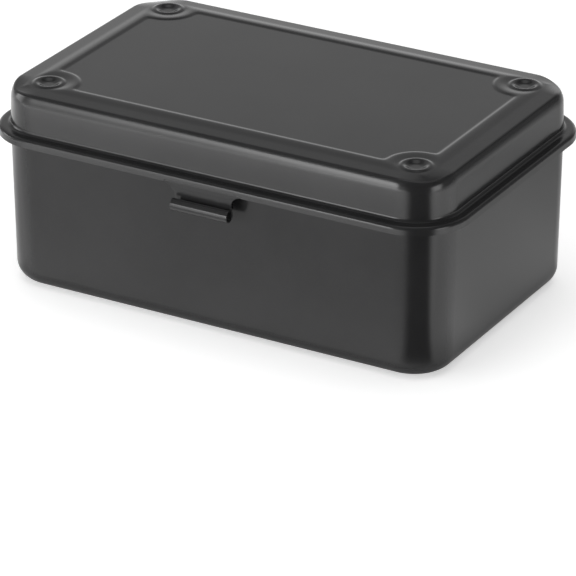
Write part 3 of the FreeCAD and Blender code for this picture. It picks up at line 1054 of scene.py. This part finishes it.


# the sum of what glossy rays see of the floor's glow: painted reflections in the paint
def mirroredFloorGlow(tree, place):
    besideX = calc(tree, "SUBTRACT", calc(tree, "ABSOLUTE", place[0]), boxForm["length"] / 2 * mm)
    besideY = calc(tree, "SUBTRACT", calc(tree, "ABSOLUTE", place[1]), boxForm["depth"] / 2 * mm)
    ahead = calc(tree, "SUBTRACT", calc(tree, "MULTIPLY", place[1], -1.0), boxForm["depth"] / 2 * mm)
    allRound = greyRamp(tree, calc(tree, "MAXIMUM", besideX, besideY), studio["roundStops"])
    inFront = calc(tree, "GREATER_THAN", ahead, 0.0)
    front = calc(tree, "MULTIPLY", greyRamp(tree, ahead, studio["frontStops"]), inFront)
    sector = sectorShare(tree, cornerTurn(tree, place), *studio["sectorTurns"])
    sectorGlow = smoothStep(tree, cornerDistance(tree), *studio["sectorStart"], 0.0, studio["sectorGlow"])
    total = calc(tree, "MULTIPLY_ADD", sector, sectorGlow, calc(tree, "ADD", allRound, front))
    away = placeDistance(tree, studio["spotPlace"])
    spot = smoothStep(tree, away, 0.0, studio["spotReach"], studio["spotGlow"], 0.0)
    total = calc(tree, "ADD", total, spot)
    leftEnd = smoothStep(tree, place[0], *studio["leftEnd"], studio["leftEndGlow"], 0.0)
    leftBack = smoothStep(tree, place[1], *studio["leftEndBack"], 0.0, 1.0)
    return calc(tree, "MULTIPLY_ADD", leftEnd, leftBack, total)


def makeFloor():
    material, tree = emptyMaterial("paleFloor")
    path = newNode(tree, "ShaderNodeLightPath").outputs
    inGloss = calc(tree, "MAXIMUM", path["Is Glossy Ray"], path["Is Transmission Ray"])
    glossGlow = calc(tree, "MULTIPLY", inGloss, mirroredFloorGlow(tree, objectPlace(tree)))
    strength = calc(tree, "MULTIPLY_ADD", path["Is Camera Ray"], studio["floorGlow"], glossGlow)
    addGlow(tree, newNode(tree, "ShaderNodeBsdfDiffuse", {"Color": studio["floorColour"]}), strength)
    side = studio["floorSize"] / 2
    corners = [(x * side, y * side, -studio["floorDrop"]) for x, y in ((-1, -1), (1, -1), (1, 1), (-1, 1))]
    stagePiece("floor", corners, [(0, 1, 2, 3)], material)


# a dark sector on the floor with an upright back, its sides and its tip fading out; only glossy rays see it,
# as a painted dark reflection
def makeDarkCard():
    material, tree = emptyMaterial("darkCard")
    (low, high), (lowFade, highFade) = studio["cardTurns"], studio["cardFades"]
    around = cornerTurn(tree, objectPlace(tree))
    cover = sectorShare(tree, around, low, low + lowFade, high - highFade, high)
    begun = smoothStep(tree, cornerDistance(tree), *studio["cardStart"], 0.0, 1.0)
    dark = newNode(tree, "ShaderNodeBsdfDiffuse", {"Color": studio["cardColour"]})
    clear = newNode(tree, "ShaderNodeBsdfTransparent")
    mixed = newNode(tree, "ShaderNodeMixShader", {
        0: calc(tree, "MULTIPLY", cover, begun), 1: clear.outputs[0], 2: dark.outputs[0]})
    newNode(tree, "ShaderNodeOutputMaterial", {"Surface": mixed.outputs[0]})
    tip = Vector((*studio["cardFrom"], studio["cardLift"]))
    rise = Vector((0.0, 0.0, studio["cardHeight"]))
    steps = studio["cardSteps"]
    arc = [tip + outwardAt(turn) * studio["cardReach"] for turn in spread(low, high, steps)]
    count = len(arc)
    back = [(k, k + 1, k + 1 + count, k + count) for k in range(steps)]
    points = arc + [point + rise for point in arc] + [tip]
    mirroredPiece("darkCard", points, [(2 * count, *range(count))] + back, material)


# plain white for the camera and a graded sky for every other ray
def makeWorld():
    world = bpy.data.worlds.new("studioWorld")
    world.use_nodes = True
    scene.world = world
    tree = world.node_tree
    tree.nodes.clear()
    ray = newNode(tree, "ShaderNodeTexCoord").outputs["Generated"]
    x, y, z = newNode(tree, "ShaderNodeSeparateXYZ", {0: ray}).outputs
    skies = [greyRamp(tree, z, studio[key]) for key in ("frontSkyStops", "skyStops")]
    bothSkies = mixColours(tree, smoothStep(tree, y, *studio["skyTurn"], 0.0, 1.0), *skies)
    rightFall = smoothStep(tree, x, *studio["rightTurn"], 1.0, studio["rightShare"])
    leftFall = smoothStep(tree, x, *studio["leftTurn"], studio["leftShare"], 1.0)
    sky = newNode(tree, "ShaderNodeBackground", {
        "Color": bothSkies, "Strength": calc(tree, "MULTIPLY", rightFall, leftFall)})
    white = newNode(tree, "ShaderNodeBackground", {"Color": studio["cameraSky"], "Strength": 1.0})
    path = newNode(tree, "ShaderNodeLightPath")
    mixed = newNode(tree, "ShaderNodeMixShader", {
        0: path.outputs["Is Camera Ray"], 1: sky.outputs[0], 2: white.outputs[0]})
    newNode(tree, "ShaderNodeOutputWorld", {"Surface": mixed.outputs[0]})


def makeLamps():
    for name, (turn, away, width, low, high, power) in studio["softBoxes"].items():
        outward = outwardAt(turn)
        place = outward * away + Vector((0.0, 0.0, (low + high) / 2))
        areaLamp(name, width, high - low, power, place, -outward)
    size = studio["overheadSize"]
    areaLamp(
        "overhead", size, size, studio["overheadPower"],
        Vector((0.0, 0.0, studio["overheadHeight"])), Vector((0.0, 0.0, -1.0)))


makeFloor()
makeDarkCard()
for cardName, cardValues in studio["glowCards"].items():
    makeGlowCard(cardName, *cardValues)
makeWorld()
makeLamps()
print("camera and studio made")
